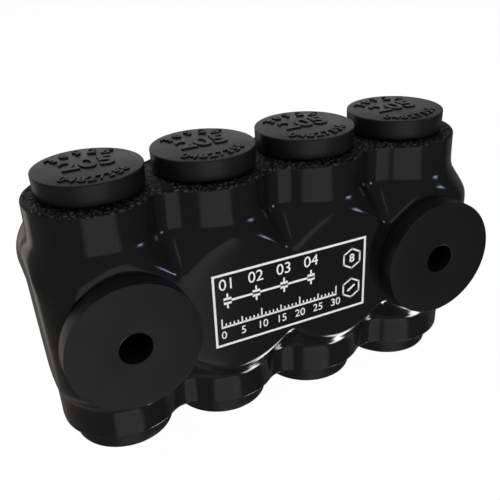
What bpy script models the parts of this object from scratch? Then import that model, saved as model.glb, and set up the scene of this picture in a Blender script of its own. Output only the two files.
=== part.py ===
"""Insulated multi-tap connector: a coated aluminium block with four ports that run through it.

Millimetres in the numbers below, metres in the meshes. X runs along the row of ports, Y from the
front pad to the back, Z from the lower plugs to the upper ones. Z = 0 is where it stands.
"""

import bpy
import numpy as np

# Wire plug, a push-in cap with a hollow barrel
BARREL_R = 9.95
BARREL_RIB = 0.35
BARREL_WALL = 1.5
BARREL_LONG = 7.4
RIB_FROM_END = 1.9
RIB_EASE = 0.6
BARREL_TIP_EASE = 0.3
PLUG_LIP = 2.75
PLUG_DRAFT = 0.16
PLUG_PROUD = 5.5
PLUG_LIFT = 0.6
PLUG_WEB = 5.9
PLUG_EDGE = 0.4

# Row of ports, each with a collar round its bore
PORTS = 4
MIDDLE_PORTS = (1, 2)
OUTER_PORTS = (0, 3)
BARREL_ROOM = 0.55
COLLAR_WALL = 5.25
COLLAR_LAP = 3.6
COLLAR_LONG = 10.4
REAR_COLLAR_LONG = 11.75
RIM_ROUND = 0.7
RIM_ROUND_LONG = 1.0

# Block inside the coat, with heights from mid-height (S)
COAT = 1.8
GAP = 0.3
BLOCK_S = 19.5
BLOCK_EDGE = 0.5
WIRE_BORE_R = 7.75
MOUTH_WIDEN = 1.15
BORE_MOUTH_DEEP = 1.2
BOSS_PROUD = 0.3
BOSS_FROM_Y = 6.5

# Coat, measured from the plane of the port axes (Y) and outwards from a collar
FRONT_PAD = 2.45
REAR_PAD = 10.85
END_PAD = 1.3
END_LEAN = 0.039
SHOULDER_RISE = 1.6
SHOULDER_END_RISE = 0.1
SHOULDER_SLOPE = 0.70
REAR_SLOPE_MORE = 0.80
SHOULDER_SOFT = 1.6
VALLEY_SOFT = 1.5
RIDGE_SOFT = 0.8
FRONT_CORNER_R = 11.26
REAR_CORNER_R = 24.0
REAR_COLLAR_FROM_Y = 6.0

# Mount bushings
DISC_R = 15.85
DISC_PROUD = 4.75
DISC_EDGE = 0.35
MOUNT_HOLE_R = 3.86
SLEEVE_R = 6.6
SLEEVE_MEET_Y = 0.0
FLANGE_ROOM = 0.6
REAR_FLANGE_THICK = 3.0

# Set screws
SCREW_R = 7.1
SCREW_TIP_ROOM = 1.25
SCREW_LONG = 14.5
SCREW_POINT_R = 5.2
SCREW_POINT_LONG = 1.6
SCREW_EDGE = 0.6
SOCKET_ACROSS = 7.94
SOCKET_DEEP = 7.0
SOCKET_TIP = 1.2

# How far a cutter runs past the face that it opens
PAST = 1.5

# Derived
BARREL_RIB_R = BARREL_R + BARREL_RIB
PLUG_R = BARREL_R + PLUG_LIP
PLUG_FOOT_R = PLUG_R - PLUG_DRAFT
COLLAR_BORE_R = BARREL_R + BARREL_ROOM
COLLAR_R = COLLAR_BORE_R + COLLAR_WALL
PITCH = 2 * COLLAR_R - COLLAR_LAP
PORT_X = (np.arange(PORTS) - (PORTS - 1) / 2) * PITCH
FRONT_Y = COLLAR_R + FRONT_PAD
REAR_Y = COLLAR_R + REAR_PAD
END_X = COLLAR_R + END_PAD
RIM_S = BLOCK_S + COLLAR_LONG
REAR_RIM_Y = REAR_Y + REAR_COLLAR_LONG
SHOULDER_S = BLOCK_S + SHOULDER_RISE
SHOULDER_END_S = BLOCK_S + SHOULDER_END_RISE
BLOCK_INSET = COAT + 1.5 * GAP
BORE_MOUTH_R = WIRE_BORE_R + MOUTH_WIDEN
SLEEVE_HOLE_R = SLEEVE_R + GAP
REAR_FLANGE_R = COLLAR_BORE_R - FLANGE_ROOM
SCREW_HOLE_R = SCREW_R + GAP
SCREW_TIP_Y = WIRE_BORE_R + SCREW_TIP_ROOM
MID_Z = RIM_S + PLUG_PROUD
REAR_TOP_Y = REAR_RIM_Y + PLUG_PROUD
FRONT_FACE_Y = -(FRONT_Y + DISC_PROUD)
Y_SHIFT = -(REAR_TOP_Y + FRONT_FACE_Y) / 2


def soft_min(a, b, k):
    return (a + b - np.sqrt((a - b) ** 2 + k * k)) / 2


def soft_max(a, b, k):
    return (a + b + np.sqrt((a - b) ** 2 + k * k)) / 2


def soft_positive(a, k):
    return (a + np.sqrt(a * a + k * k)) / 2


def box_reach(turn, half_x, half_y, corner):
    """Distance from the middle to the side of a box with round corners, in the direction turn."""
    c = np.maximum(np.cos(turn), 1e-9)
    s = np.maximum(np.abs(np.sin(turn)), 1e-9)
    cx = half_x - corner
    cy = half_y - corner
    to_x = half_x / c
    to_y = half_y / s
    along = cx * c + cy * s
    arc = along + np.sqrt(np.maximum(along * along - cx * cx - cy * cy + corner * corner, 0))
    return np.where(to_x * s <= cy, to_x, np.where(to_y * c <= cx, to_y, arc))


def row_x(per_half):
    """Places along the row, closer together near the valleys between two ports."""
    most = np.arcsin(PITCH / 2 / COLLAR_R)
    half = np.sin(np.linspace(-most, most, 2 * per_half + 1)) * COLLAR_R
    places = [PORT_X[i] + half for i in range(PORTS)]
    row = np.concatenate([p[:-1] for p in places] + [places[-1][-1:]])
    return row[per_half:len(row) - per_half]


def row_depth(x, radius):
    """Half depth at x of four equal circles in a row, blended where two of them meet."""
    reach = np.sqrt(np.maximum(radius ** 2 - (x[:, None] - PORT_X) ** 2, 0))
    depth = reach[:, 0]
    for i in range(1, PORTS):
        depth = soft_max(depth, reach[:, i], VALLEY_SOFT)
    return depth


def shell_ring(s, inset, edge, per_half, end_steps):
    """One level of the body's form, inset all round, as x and y running anticlockwise from above."""
    x = row_x(per_half)
    collar_r = COLLAR_R - inset - edge
    front_grow = soft_positive(SHOULDER_S - abs(s), SHOULDER_SOFT)
    rear_grow = soft_positive(SHOULDER_END_S - abs(s), SHOULDER_SOFT)
    front_r = collar_r + SHOULDER_SLOPE * front_grow
    rear_r = collar_r + (SHOULDER_SLOPE + REAR_SLOPE_MORE) * rear_grow
    front = -soft_min(row_depth(x, front_r), FRONT_Y - inset, RIDGE_SOFT)
    rear = soft_min(row_depth(x, rear_r), REAR_Y - inset, RIDGE_SOFT)
    turn = np.linspace(-np.pi / 2, np.pi / 2, end_steps + 1)
    start = SHOULDER_END_S + (SHOULDER_S - SHOULDER_END_S) * np.clip((-np.sin(turn) - 0.3) / 0.7, 0, 1)
    slope = SHOULDER_SLOPE + REAR_SLOPE_MORE * np.clip(np.sin(turn), 0, 1)
    radius = collar_r + slope * soft_positive(start - abs(s), SHOULDER_SOFT)
    half_x = END_X + END_LEAN * s - inset
    box_front = box_reach(turn, half_x, FRONT_Y - inset, FRONT_CORNER_R - inset)
    box_rear = box_reach(turn, half_x, REAR_Y - inset, REAR_CORNER_R - inset)
    reach = soft_min(radius, np.where(turn < 0, box_front, box_rear), RIDGE_SOFT)
    return ring_around(x, front, rear, reach, turn)


def collar_ring(edge, per_half, end_steps):
    """Outline of the four joined collars, inset by a rim's round edge."""
    x = row_x(per_half)
    depth = row_depth(x, COLLAR_R - edge)
    turn = np.linspace(-np.pi / 2, np.pi / 2, end_steps + 1)
    return ring_around(x, -depth, depth, COLLAR_R - edge, turn)


def ring_around(x, front, rear, reach, turn):
    """Front side, right end, rear side and left end as one closed outline."""
    end_x = (reach * np.cos(turn))[1:-1]
    end_y = (reach * np.sin(turn))[1:-1]
    last = PORT_X[-1]
    ring_x = np.concatenate([x, last + end_x, x[::-1], -last - end_x[::-1]])
    ring_y = np.concatenate([front, end_y, rear[::-1], end_y[::-1]])
    return ring_x, ring_y


def stacked_rings(rings, levels, per_half, end_steps):
    """Closed mesh through the rings, with a flat face on the first and the last."""
    points = [np.stack([x, y, np.full(len(x), s)], 1) for (x, y), s in zip(rings, levels)]
    row = len(row_x(per_half))
    around = len(points[0])
    faces = []
    for k in range(len(levels) - 1):
        for i in range(around):
            j = (i + 1) % around
            faces.append((k * around + i, k * around + j, (k + 1) * around + j, (k + 1) * around + i))
    count = around * len(levels)
    middle = row_x(per_half)
    end = end_steps - 1
    for level, base in ((0, 0), (len(levels) - 1, around * (len(levels) - 1))):
        points.append(np.stack([middle, 0 * middle, np.full(row, levels[level])], 1))
        first = base
        for i in range(row - 1):
            back = base + row + end + (row - 1 - i)
            lower = (first + i, count + i, count + i + 1, first + i + 1)
            upper = (count + i, back, back - 1, count + i + 1)
            faces.append(lower if level == 0 else lower[::-1])
            faces.append(upper if level == 0 else upper[::-1])
        right = list(range(base + row - 1, base + row + end + 1))
        left = list(range(base + 2 * row + end - 1, base + around)) + [base]
        for chain, hub in ((right, count + row - 1), (left, count)):
            for a, b in zip(chain[:-1], chain[1:]):
                faces.append((hub, b, a) if level == 0 else (hub, a, b))
        count += row
    return np.concatenate(points), faces


def shell_mesh(levels, edges, inset, per_half, end_steps):
    rings = [shell_ring(s, inset, edge, per_half, end_steps) for s, edge in zip(levels, edges)]
    return stacked_rings(rings, levels, per_half, end_steps)


def material(name, colour, metal, rough):
    made = bpy.data.materials.new(name)
    made.use_nodes = True
    shader = made.node_tree.nodes["Principled BSDF"]
    shader.inputs["Base Color"].default_value = (*colour, 1.0)
    shader.inputs["Metallic"].default_value = metal
    shader.inputs["Roughness"].default_value = rough
    return made


def signed_volume(points, faces):
    total = 0.0
    for face in faces:
        for i in range(1, len(face) - 1):
            total += np.dot(points[face[0]], np.cross(points[face[i]], points[face[i + 1]]))
    return total


def add_mesh(name, points, faces, place=(0, 0, 0), surface=None):
    """A new object at place, in millimetres from the port axes' plane and the mid-height."""
    points = np.asarray(points, float)
    if signed_volume(points, faces) < 0:
        faces = [face[::-1] for face in faces]
    mesh = bpy.data.meshes.new(name)
    mesh.from_pydata((points / 1000).tolist(), [], [tuple(int(i) for i in face) for face in faces])
    mesh.validate()
    mesh.update()
    made = bpy.data.objects.new(name, mesh)
    made.location = (place[0] / 1000, (place[1] + Y_SHIFT) / 1000, (place[2] + MID_Z) / 1000)
    bpy.context.scene.collection.objects.link(made)
    if surface is not None:
        mesh.materials.append(surface)
    return made


def turned(profile, steps, along, phase=0.0):
    """Points and faces of a (radius, height) outline turned round an axis; along names the axis."""
    closed_ring = profile[0][0] > 0 and profile[-1][0] > 0
    turn = 2 * np.pi * np.arange(steps) / steps + phase
    points = []
    rows = []
    for radius, height in profile:
        if radius > 0:
            rows.append(list(range(len(points), len(points) + steps)))
            points += [(radius * np.cos(t), radius * np.sin(t), height) for t in turn]
        else:
            rows.append([len(points)] * steps)
            points.append((0.0, 0.0, height))
    faces = []
    pairs = list(zip(rows[:-1], rows[1:]))
    if closed_ring:
        pairs.append((rows[-1], rows[0]))
    for low, high in pairs:
        for i in range(steps):
            j = (i + 1) % steps
            face = [low[i], low[j], high[j], high[i]]
            kept = [v for n, v in enumerate(face) if v != face[n - 1]]
            if len(kept) > 2:
                faces.append(tuple(kept))
    points = np.array(points)
    if along == "-z":
        points = points * np.array([1, -1, -1])
    if along == "+y":
        points = points[:, [0, 2, 1]] * np.array([-1, 1, 1])
    if along == "-y":
        points = points[:, [0, 2, 1]] * np.array([1, -1, 1])
    return points, faces


def cutter(name, points, faces, place):
    made = add_mesh(name, points, faces, place)
    made.hide_render = True
    made.display_type = "WIRE"
    return made


def combine(target, tool, how):
    step = target.modifiers.new(tool.name, "BOOLEAN")
    step.object = tool
    step.operation = how
    step.solver = "EXACT"


def rod(name, radius, low, high, along, place, steps, phase=0.0):
    outline = [(0, low), (radius, low), (radius, high), (0, high)]
    points, faces = turned(outline, steps, along, phase)
    return cutter(name, points, faces, place)


def mirrored(half):
    return [-s for s in half] + [s for s in reversed(half)]


for old in list(bpy.data.objects):
    bpy.data.objects.remove(old)

coat_surface = material("plastisol_coat", (0.012, 0.012, 0.013), 0.0, 0.22)
block_surface = material("cast_aluminium", (0.72, 0.73, 0.74), 1.0, 0.38)
plug_surface = material("moulded_plug", (0.075, 0.075, 0.075), 0.0, 0.6)
bush_surface = material("moulded_bushing", (0.02, 0.02, 0.021), 0.0, 0.55)
screw_surface = material("plated_screw", (0.62, 0.62, 0.6), 1.0, 0.3)

# Coat
rim_drops = (0, RIM_ROUND_LONG / 4, RIM_ROUND_LONG)
shoulder_levels = SHOULDER_S + np.array([2.1, 0.2, -1.3, -2.9, -4.8, -7.3, -10.5])
middle_levels = [BLOCK_S * 12 / 39, BLOCK_S * 4 / 39]
half_levels = [RIM_S - drop for drop in rim_drops] + list(shoulder_levels) + middle_levels
levels = mirrored(half_levels)
edge_list = [RIM_ROUND, RIM_ROUND * 0.35] + [0.0] * (len(half_levels) - 2)
edges = edge_list + edge_list[::-1]
points, faces = shell_mesh(levels, edges, 0.0, 5, 12)
jacket = add_mesh("jacket", points, faces, surface=coat_surface)
rear_levels = [REAR_COLLAR_FROM_Y] + [REAR_RIM_Y - drop for drop in rim_drops[::-1]]
rings = [collar_ring(RIM_ROUND * share, 6, 18) for share in (0, 0, 0.35, 1)]
points, faces = stacked_rings(rings, rear_levels, 6, 18)
points = points[:, [0, 2, 1]] * np.array([1, 1, -1])
combine(jacket, cutter("rear_collars", points, faces, (0, 0, 0)), "UNION")

# Hollow for the block, and the openings in the coat
inner_steps = [BLOCK_S - drop for drop in (1.3, 3.3, 6.5, 11.5)] + [BLOCK_S * 4 / 39]
inner_half = [BLOCK_S + GAP] + inner_steps
inner_levels = mirrored(inner_half)
points, faces = shell_mesh(inner_levels, [0.0] * len(inner_levels), COAT, 3, 8)
hollow = cutter("block_hollow", points, faces, (0, 0, 0))
boss_y = REAR_Y - BLOCK_INSET + BOSS_PROUD
for i in OUTER_PORTS:
    place = (PORT_X[i], 0, 0)
    made = rod(f"hollow_boss_{i + 1}", COLLAR_R - COAT, BOSS_FROM_Y, boss_y + GAP, "+y", place, 32, 0.05)
    combine(hollow, made, "UNION")
combine(jacket, hollow, "DIFFERENCE")
for i in range(PORTS):
    place = (PORT_X[i], 0, 0)
    runs = (
        ("top", COLLAR_BORE_R, BLOCK_S - PAST, RIM_S + PAST, "+z", 32),
        ("bottom", COLLAR_BORE_R, BLOCK_S - PAST, RIM_S + PAST, "-z", 32),
        ("rear", COLLAR_BORE_R, REAR_Y - 3 * COAT, REAR_RIM_Y + PAST, "+y", 32),
        ("front", SLEEVE_HOLE_R, FRONT_Y - 2 * COAT, FRONT_Y + PAST, "-y", 24),
    )
    for side, radius, low, high, along, steps in runs:
        if side == "front" and i in MIDDLE_PORTS:
            continue
        made = rod(f"coat_hole_{side}_{i + 1}", radius, low, high, along, place, steps, 0.07)
        combine(jacket, made, "DIFFERENCE")

# Block
block_half = [BLOCK_S] + inner_steps
block_levels = mirrored(block_half)
block_edges = [BLOCK_EDGE] + [0.0] * (len(block_levels) - 2) + [BLOCK_EDGE]
points, faces = shell_mesh(block_levels, block_edges, BLOCK_INSET, 3, 8)
block = add_mesh("terminal_block", points, faces, surface=block_surface)
for i in OUTER_PORTS:
    place = (PORT_X[i], 0, 0)
    boss_r = COLLAR_R - BLOCK_INSET
    made = rod(f"block_boss_{i + 1}", boss_r, BOSS_FROM_Y + GAP, boss_y, "+y", place, 32, 0.05)
    combine(block, made, "UNION")
for i in range(PORTS):
    place = (PORT_X[i], 0, 0)
    mouth = BLOCK_S - BORE_MOUTH_DEEP
    outline = [
        (0, -BLOCK_S - PAST),
        (BORE_MOUTH_R, -BLOCK_S - PAST),
        (BORE_MOUTH_R, -BLOCK_S),
        (WIRE_BORE_R, -mouth),
        (WIRE_BORE_R, mouth),
        (BORE_MOUTH_R, BLOCK_S),
        (BORE_MOUTH_R, BLOCK_S + PAST),
        (0, BLOCK_S + PAST),
    ]
    points, faces = turned(outline, 28, "+z", 0.02)
    combine(block, cutter(f"wire_bore_{i + 1}", points, faces, place), "DIFFERENCE")
    if i in OUTER_PORTS:
        made = rod(f"mount_bore_{i + 1}", SLEEVE_HOLE_R, -FRONT_Y - PAST, REAR_Y + PAST, "+y", place, 24)
    else:
        made = rod(f"screw_bore_{i + 1}", SCREW_HOLE_R, SCREW_HOLE_R / 4, REAR_Y + PAST, "+y", place, 28)
    combine(block, made, "DIFFERENCE")

# Plugs in the twelve collars
rib_s = RIB_FROM_END - BARREL_LONG
plug_outline = [
    (0, PLUG_PROUD - PLUG_WEB),
    (BARREL_R - BARREL_WALL, PLUG_PROUD - PLUG_WEB),
    (BARREL_R - BARREL_WALL, -BARREL_LONG),
    (BARREL_R - BARREL_TIP_EASE, -BARREL_LONG),
    (BARREL_RIB_R, rib_s),
    (BARREL_R, rib_s + RIB_EASE),
    (BARREL_R, PLUG_LIFT),
    (PLUG_FOOT_R, PLUG_LIFT),
    (PLUG_R, PLUG_PROUD - PLUG_EDGE),
    (PLUG_R - PLUG_EDGE, PLUG_PROUD),
    (0, PLUG_PROUD),
]
for i in range(PORTS):
    for side, along, place in (
        ("top", "+z", (PORT_X[i], 0, RIM_S)),
        ("bottom", "-z", (PORT_X[i], 0, -RIM_S)),
        ("rear", "+y", (PORT_X[i], REAR_RIM_Y, 0)),
    ):
        points, faces = turned(plug_outline, 28, along)
        kind = "screw_plug" if side == "rear" else f"wire_plug_{side}"
        add_mesh(f"{kind}_{i + 1}", points, faces, place, plug_surface)

# Mount bushings in the outer ports
front_y = FRONT_Y + GAP
rear_y = boss_y + GAP
for i, side in zip(OUTER_PORTS, ("left", "right")):
    place = (PORT_X[i], 0, 0)
    outline = [
        (MOUNT_HOLE_R, SLEEVE_MEET_Y + GAP / 2),
        (SLEEVE_R, SLEEVE_MEET_Y + GAP / 2),
        (SLEEVE_R, front_y),
        (DISC_R, front_y),
        (DISC_R, FRONT_Y + DISC_PROUD - DISC_EDGE),
        (DISC_R - DISC_EDGE, FRONT_Y + DISC_PROUD),
        (MOUNT_HOLE_R, FRONT_Y + DISC_PROUD),
    ]
    points, faces = turned(outline, 48, "-y")
    add_mesh(f"mount_bushing_front_{side}", points, faces, place, bush_surface)
    outline = [
        (MOUNT_HOLE_R, SLEEVE_MEET_Y + GAP / 2),
        (SLEEVE_R, SLEEVE_MEET_Y + GAP / 2),
        (SLEEVE_R, rear_y),
        (REAR_FLANGE_R, rear_y),
        (REAR_FLANGE_R, rear_y + REAR_FLANGE_THICK),
        (MOUNT_HOLE_R, rear_y + REAR_FLANGE_THICK),
    ]
    points, faces = turned(outline, 32, "+y")
    add_mesh(f"mount_bushing_rear_{side}", points, faces, place, bush_surface)

# Set screws in the middle ports
for i in MIDDLE_PORTS:
    outline = [
        (0, 0),
        (SCREW_POINT_R, 0),
        (SCREW_R, SCREW_POINT_LONG),
        (SCREW_R, SCREW_LONG - SCREW_EDGE),
        (SCREW_R - SCREW_EDGE, SCREW_LONG),
        (0, SCREW_LONG),
    ]
    points, faces = turned(outline, 32, "+y")
    place = (PORT_X[i], SCREW_TIP_Y, 0)
    screw = add_mesh(f"set_screw_{i + 1}", points, faces, place, screw_surface)
    corner = SOCKET_ACROSS / 2 / np.cos(np.pi / 6)
    outline = [
        (0, SCREW_LONG - SOCKET_DEEP),
        (corner, SCREW_LONG - SOCKET_DEEP + SOCKET_TIP),
        (corner, SCREW_LONG + PAST),
        (0, SCREW_LONG + PAST),
    ]
    points, faces = turned(outline, 6, "+y", np.pi / 6)
    combine(screw, cutter(f"socket_{i + 1}", points, faces, place), "DIFFERENCE")
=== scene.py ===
# Insulated multi-tap connector: a black coated block with plugged ports and mount bushings.
# Numbers are millimetres in the object's own grid: X along the row of ports from its middle, Y from
# the plane of the port axes towards the set-screw side, S up from mid-height. A point goes to the
# frame by adding yShift and midZ and dividing by 1000.

import bmesh
import bpy
import numpy as np

from mathutils import Matrix, Vector


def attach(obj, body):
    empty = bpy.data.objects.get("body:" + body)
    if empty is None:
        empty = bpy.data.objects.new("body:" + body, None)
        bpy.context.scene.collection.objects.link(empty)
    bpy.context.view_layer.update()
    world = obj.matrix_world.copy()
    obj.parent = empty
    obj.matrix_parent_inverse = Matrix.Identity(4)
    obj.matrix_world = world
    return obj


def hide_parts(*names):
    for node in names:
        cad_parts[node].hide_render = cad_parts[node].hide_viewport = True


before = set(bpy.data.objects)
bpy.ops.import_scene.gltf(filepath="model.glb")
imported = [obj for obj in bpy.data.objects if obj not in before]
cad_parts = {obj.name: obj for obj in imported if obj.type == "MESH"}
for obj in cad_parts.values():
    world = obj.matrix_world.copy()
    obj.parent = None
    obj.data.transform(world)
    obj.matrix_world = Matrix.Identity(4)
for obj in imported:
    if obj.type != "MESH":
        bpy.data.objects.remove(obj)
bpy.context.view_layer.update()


ports = 4
pitch = 27.9
portX = (np.arange(ports) - (ports - 1) / 2) * pitch
midZ = 35.4  # mid-height stands this far above the foot of the object
yShift = -10.45  # the port axes lie this far in front of the middle of its depth


# Helpers for meshes

samePlace = 0.0005  # points closer than this become one
tiny = 1e-9  # keeps a divisor away from zero


# Points in the object's own grid as metres in the frame.
def toFrame(points):
    return (points + np.array([0, yShift, midZ])) / 1000


# Directions all the way round, evenly spaced.
def fullTurn(steps):
    return 2 * np.pi * np.arange(steps) / steps


# Quads between the points of a grid that is stored row by row and whose rows are closed rings.
def gridFaces(rows, columns):
    r = np.arange(rows - 1)[:, None]
    c = np.arange(columns)[None, :]
    n = (c + 1) % columns
    corners = [r * columns + c, r * columns + n, (r + 1) * columns + n, (r + 1) * columns + c]
    return np.stack(corners, -1).reshape(-1, 4)


# Collects grids of closed rings with their quads, then makes one mesh object of them.
class MeshParts:
    def __init__(self):
        self.points = []
        self.faces = []
        self.slots = []
        self.count = 0

    # Slot is one number or one for each row of quads; stays says by their middles which quads stay.
    def add(self, grid, slot=0, flip=False, stays=None):
        rows, columns = grid.shape[:2]
        points = grid.reshape(-1, 3)
        faces = gridFaces(rows, columns)
        slots = np.repeat(np.broadcast_to(slot, rows - 1), columns).astype(np.int32)
        if stays is not None:
            kept = stays(points[faces].mean(1))
            faces, slots = faces[kept], slots[kept]
        if flip:
            faces = faces[:, ::-1]
        self.points.append(points)
        self.faces.append(faces + self.count)
        self.slots.append(slots)
        self.count += len(points)

    def build(self, name, materials, smooth=True):
        placed = toFrame(np.concatenate(self.points))
        faces = np.concatenate(self.faces)
        mesh = bpy.data.meshes.new(name)
        mesh.vertices.add(len(placed))
        mesh.vertices.foreach_set("co", placed.astype(np.float32).ravel())
        mesh.loops.add(faces.size)
        mesh.loops.foreach_set("vertex_index", faces.astype(np.int32).ravel())
        mesh.polygons.add(len(faces))
        mesh.polygons.foreach_set("loop_start", np.arange(0, faces.size, 4, dtype=np.int32))
        mesh.polygons.foreach_set("material_index", np.concatenate(self.slots))
        mesh.update(calc_edges=True)
        closed = bmesh.new()  # points that lie together become one, which closes seams and poles
        closed.from_mesh(mesh)
        bmesh.ops.remove_doubles(closed, verts=closed.verts, dist=samePlace / 1000)
        closed.to_mesh(mesh)
        closed.free()
        mesh.polygons.foreach_set("use_smooth", np.full(len(mesh.polygons), smooth))
        for material in materials:
            mesh.materials.append(material)
        made = bpy.data.objects.new(name, mesh)
        bpy.context.scene.collection.objects.link(made)
        return made


# Turns points given as (across, up, out) so that out runs along the named axis, then moves them.
def alongAxis(points, axis, place):
    a, b, h = points[..., 0], points[..., 1], points[..., 2]
    turned = {"+z": (a, b, h), "-z": (a, -b, -h), "+y": (-a, h, b), "-y": (a, -h, b)}[axis]
    return np.stack(turned, -1) + np.array(place, float)


# A grid turned round the out direction: one ring for each (radius, height) of the profile.
def lathe(profile, steps):
    radius, height = np.array(profile, float).T[..., None]
    turn = fullTurn(steps)
    return np.stack([radius * np.cos(turn), radius * np.sin(turn), height + 0 * turn], -1)


# An arc of that radius in a profile's corner. Its middle lies on the line that halves the corner,
# and its points turn evenly from the touch point on one side to the touch point on the other.
def roundCorner(before, corner, after, radius, steps):
    before, corner, after = (np.array(p, float) for p in (before, corner, after))
    inward = (before - corner) / np.linalg.norm(before - corner)
    onward = (after - corner) / np.linalg.norm(after - corner)
    half = np.arccos(np.clip(np.dot(inward, onward), -1, 1)) / 2
    run = radius / np.tan(half)
    middle = corner + (inward + onward) / np.linalg.norm(inward + onward) * radius / np.sin(half)
    first = corner + inward * run - middle
    last = corner + onward * run - middle
    share = np.linspace(0, 1, steps)[:, None]
    span = np.pi - 2 * half
    bend = (np.sin((1 - share) * span) * first + np.sin(share * span) * last) / np.sin(span)
    return [tuple(p) for p in middle + bend]


# A profile with bent corners: each point is (radius, height, bend), and a bend of 0 is sharp.
def rounded(outline, steps):
    points = [outline[0][:2]]
    for before, corner, after in zip(outline, outline[1:], outline[2:]):
        if corner[2] > 0:
            points += roundCorner(before[:2], corner[:2], after[:2], corner[2], steps)
        else:
            points.append(corner[:2])
    points.append(outline[-1][:2])
    return points


# Helpers for materials

noiseLow, noiseHigh = 0.3, 0.7  # nearly all of a noise texture's values lie between these


# Linear colour from an sRGB hex code, by the standard curve.
def paint(hexCode):
    code = hexCode.lstrip("#")
    srgb = np.array([int(code[i:i + 2], 16) for i in (0, 2, 4)]) / 255
    linear = np.where(srgb <= 0.04045, srgb / 12.92, ((srgb + 0.055) / 1.055) ** 2.4)
    return (*[float(v) for v in linear], 1.0)


# A new material and its principled shader.
def newMaterial(name):
    material = bpy.data.materials.new(name)
    material.use_nodes = True
    return material, material.node_tree.nodes["Principled BSDF"]


# Adds a node of that kind to a material or the world, or takes a node that is there already. Inputs
# maps a socket's name or number to a value or to another node's output.
def addNode(owner, kind, settings=None, inputs=None):
    node = owner.node_tree.nodes.new(kind) if isinstance(kind, str) else kind
    for key, value in (settings or {}).items():
        setattr(node, key, value)
    for key, value in (inputs or {}).items():
        if isinstance(value, bpy.types.NodeSocket):
            owner.node_tree.links.new(value, node.inputs[key])
        else:
            node.inputs[key].default_value = value
    return node


# Texture scale at which one feature is that many millimetres across.
def perMm(size):
    return 1000.0 / size


# Materials

# Soft vinyl, dipped hot and left to run smooth: a deep black gloss with slow waves and a fine skin.
coatLook = {
    "colour": "#0c0c0d", "rough": 0.11, "roughVary": 0.02, "ior": 1.5, "bump": 0.6,
    "waveMm": 9.0, "waveHeight": 0.015, "skinMm": 0.9, "skinHeight": 0.004}


def makeCoat():
    look = coatLook
    material, shader = newMaterial("dipped vinyl coat, glossy black")
    point = addNode(material, "ShaderNodeTexCoord").outputs["Object"]
    wave = addNode(material, "ShaderNodeTexNoise", inputs={
        "Vector": point, "Scale": perMm(look["waveMm"]), "Detail": 2.0})
    skin = addNode(material, "ShaderNodeTexNoise", inputs={
        "Vector": point, "Scale": perMm(look["skinMm"]), "Detail": 4.0})
    rough = addNode(material, "ShaderNodeMapRange", inputs={
        "Value": wave.outputs["Fac"], "From Min": noiseLow, "From Max": noiseHigh,
        "To Min": look["rough"] - look["roughVary"], "To Max": look["rough"] + look["roughVary"]})
    low = addNode(material, "ShaderNodeBump", inputs={
        "Strength": look["bump"], "Distance": look["waveHeight"] / 1000, "Height": wave.outputs["Fac"]})
    fine = addNode(material, "ShaderNodeBump", inputs={
        "Strength": look["bump"], "Distance": look["skinHeight"] / 1000,
        "Height": skin.outputs["Fac"], "Normal": low.outputs["Normal"]})
    addNode(material, shader, inputs={
        "Base Color": paint(look["colour"]), "Roughness": rough.outputs["Result"],
        "IOR": look["ior"], "Normal": fine.outputs["Normal"]})
    return material


# The same vinyl where it was trimmed round the openings: a coarse leathery grain, dull. The tops of
# the grain are painted grey, lighter than the black vinyl, as a painted sheen, and its grooves are
# painted near black as painted shade. The grain is drawn a little coarser than the real one so that
# it shows.
rimLook = {
    "colour": "#2c2c2c", "paintedGrooveShade": "#020202", "rough": 0.5, "shine": 0.3,
    "grainMm": 1.25, "grainHeight": 0.16, "grooveShare": 0.42,
    "warpMm": 1.6, "warpBy": 1.4, "pitMm": 0.45, "pitShare": 1.2}


def makeRim():
    look = rimLook
    material, shader = newMaterial("cut vinyl rim, rough leathery grain")
    point = addNode(material, "ShaderNodeTexCoord").outputs["Object"]
    warp = addNode(material, "ShaderNodeTexNoise", inputs={
        "Vector": point, "Scale": perMm(look["warpMm"]), "Detail": 3.0})
    moved = addNode(material, "ShaderNodeVectorMath", {"operation": "MULTIPLY_ADD"}, {
        0: warp.outputs["Color"], 1: [look["warpBy"] / 1000] * 3, 2: point})
    cells = addNode(material, "ShaderNodeTexVoronoi", {"feature": "DISTANCE_TO_EDGE"}, {
        "Vector": moved.outputs["Vector"], "Scale": perMm(look["grainMm"])})
    plateau = addNode(material, "ShaderNodeMapRange", {"interpolation_type": "SMOOTHSTEP"}, {
        "Value": cells.outputs["Distance"], "From Min": 0.0, "From Max": look["grooveShare"],
        "To Min": 0.0, "To Max": 1.0})
    pits = addNode(material, "ShaderNodeTexNoise", inputs={
        "Vector": point, "Scale": perMm(look["pitMm"]), "Detail": 3.0})
    height = addNode(material, "ShaderNodeMath", {"operation": "MULTIPLY_ADD"}, {
        0: pits.outputs["Fac"], 1: look["pitShare"], 2: plateau.outputs["Result"]})
    # Painted sheen and painted shade: the colour runs from near black in the grooves to grey on the
    # tops.
    mix = addNode(material, "ShaderNodeMix", {"data_type": "RGBA"}, {
        "Factor": plateau.outputs["Result"], 6: paint(look["paintedGrooveShade"]), 7: paint(look["colour"])})
    bump = addNode(material, "ShaderNodeBump", inputs={
        "Strength": 1.0, "Distance": look["grainHeight"] / 1000, "Height": height.outputs["Value"]})
    addNode(material, shader, inputs={
        "Base Color": mix.outputs[2], "Roughness": look["rough"],
        "Specular IOR Level": look["shine"], "Normal": bump.outputs["Normal"]})
    return material


mouldedLook = {"cloudMm": 6.0, "roughVary": 0.04, "bump": 0.8}


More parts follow.
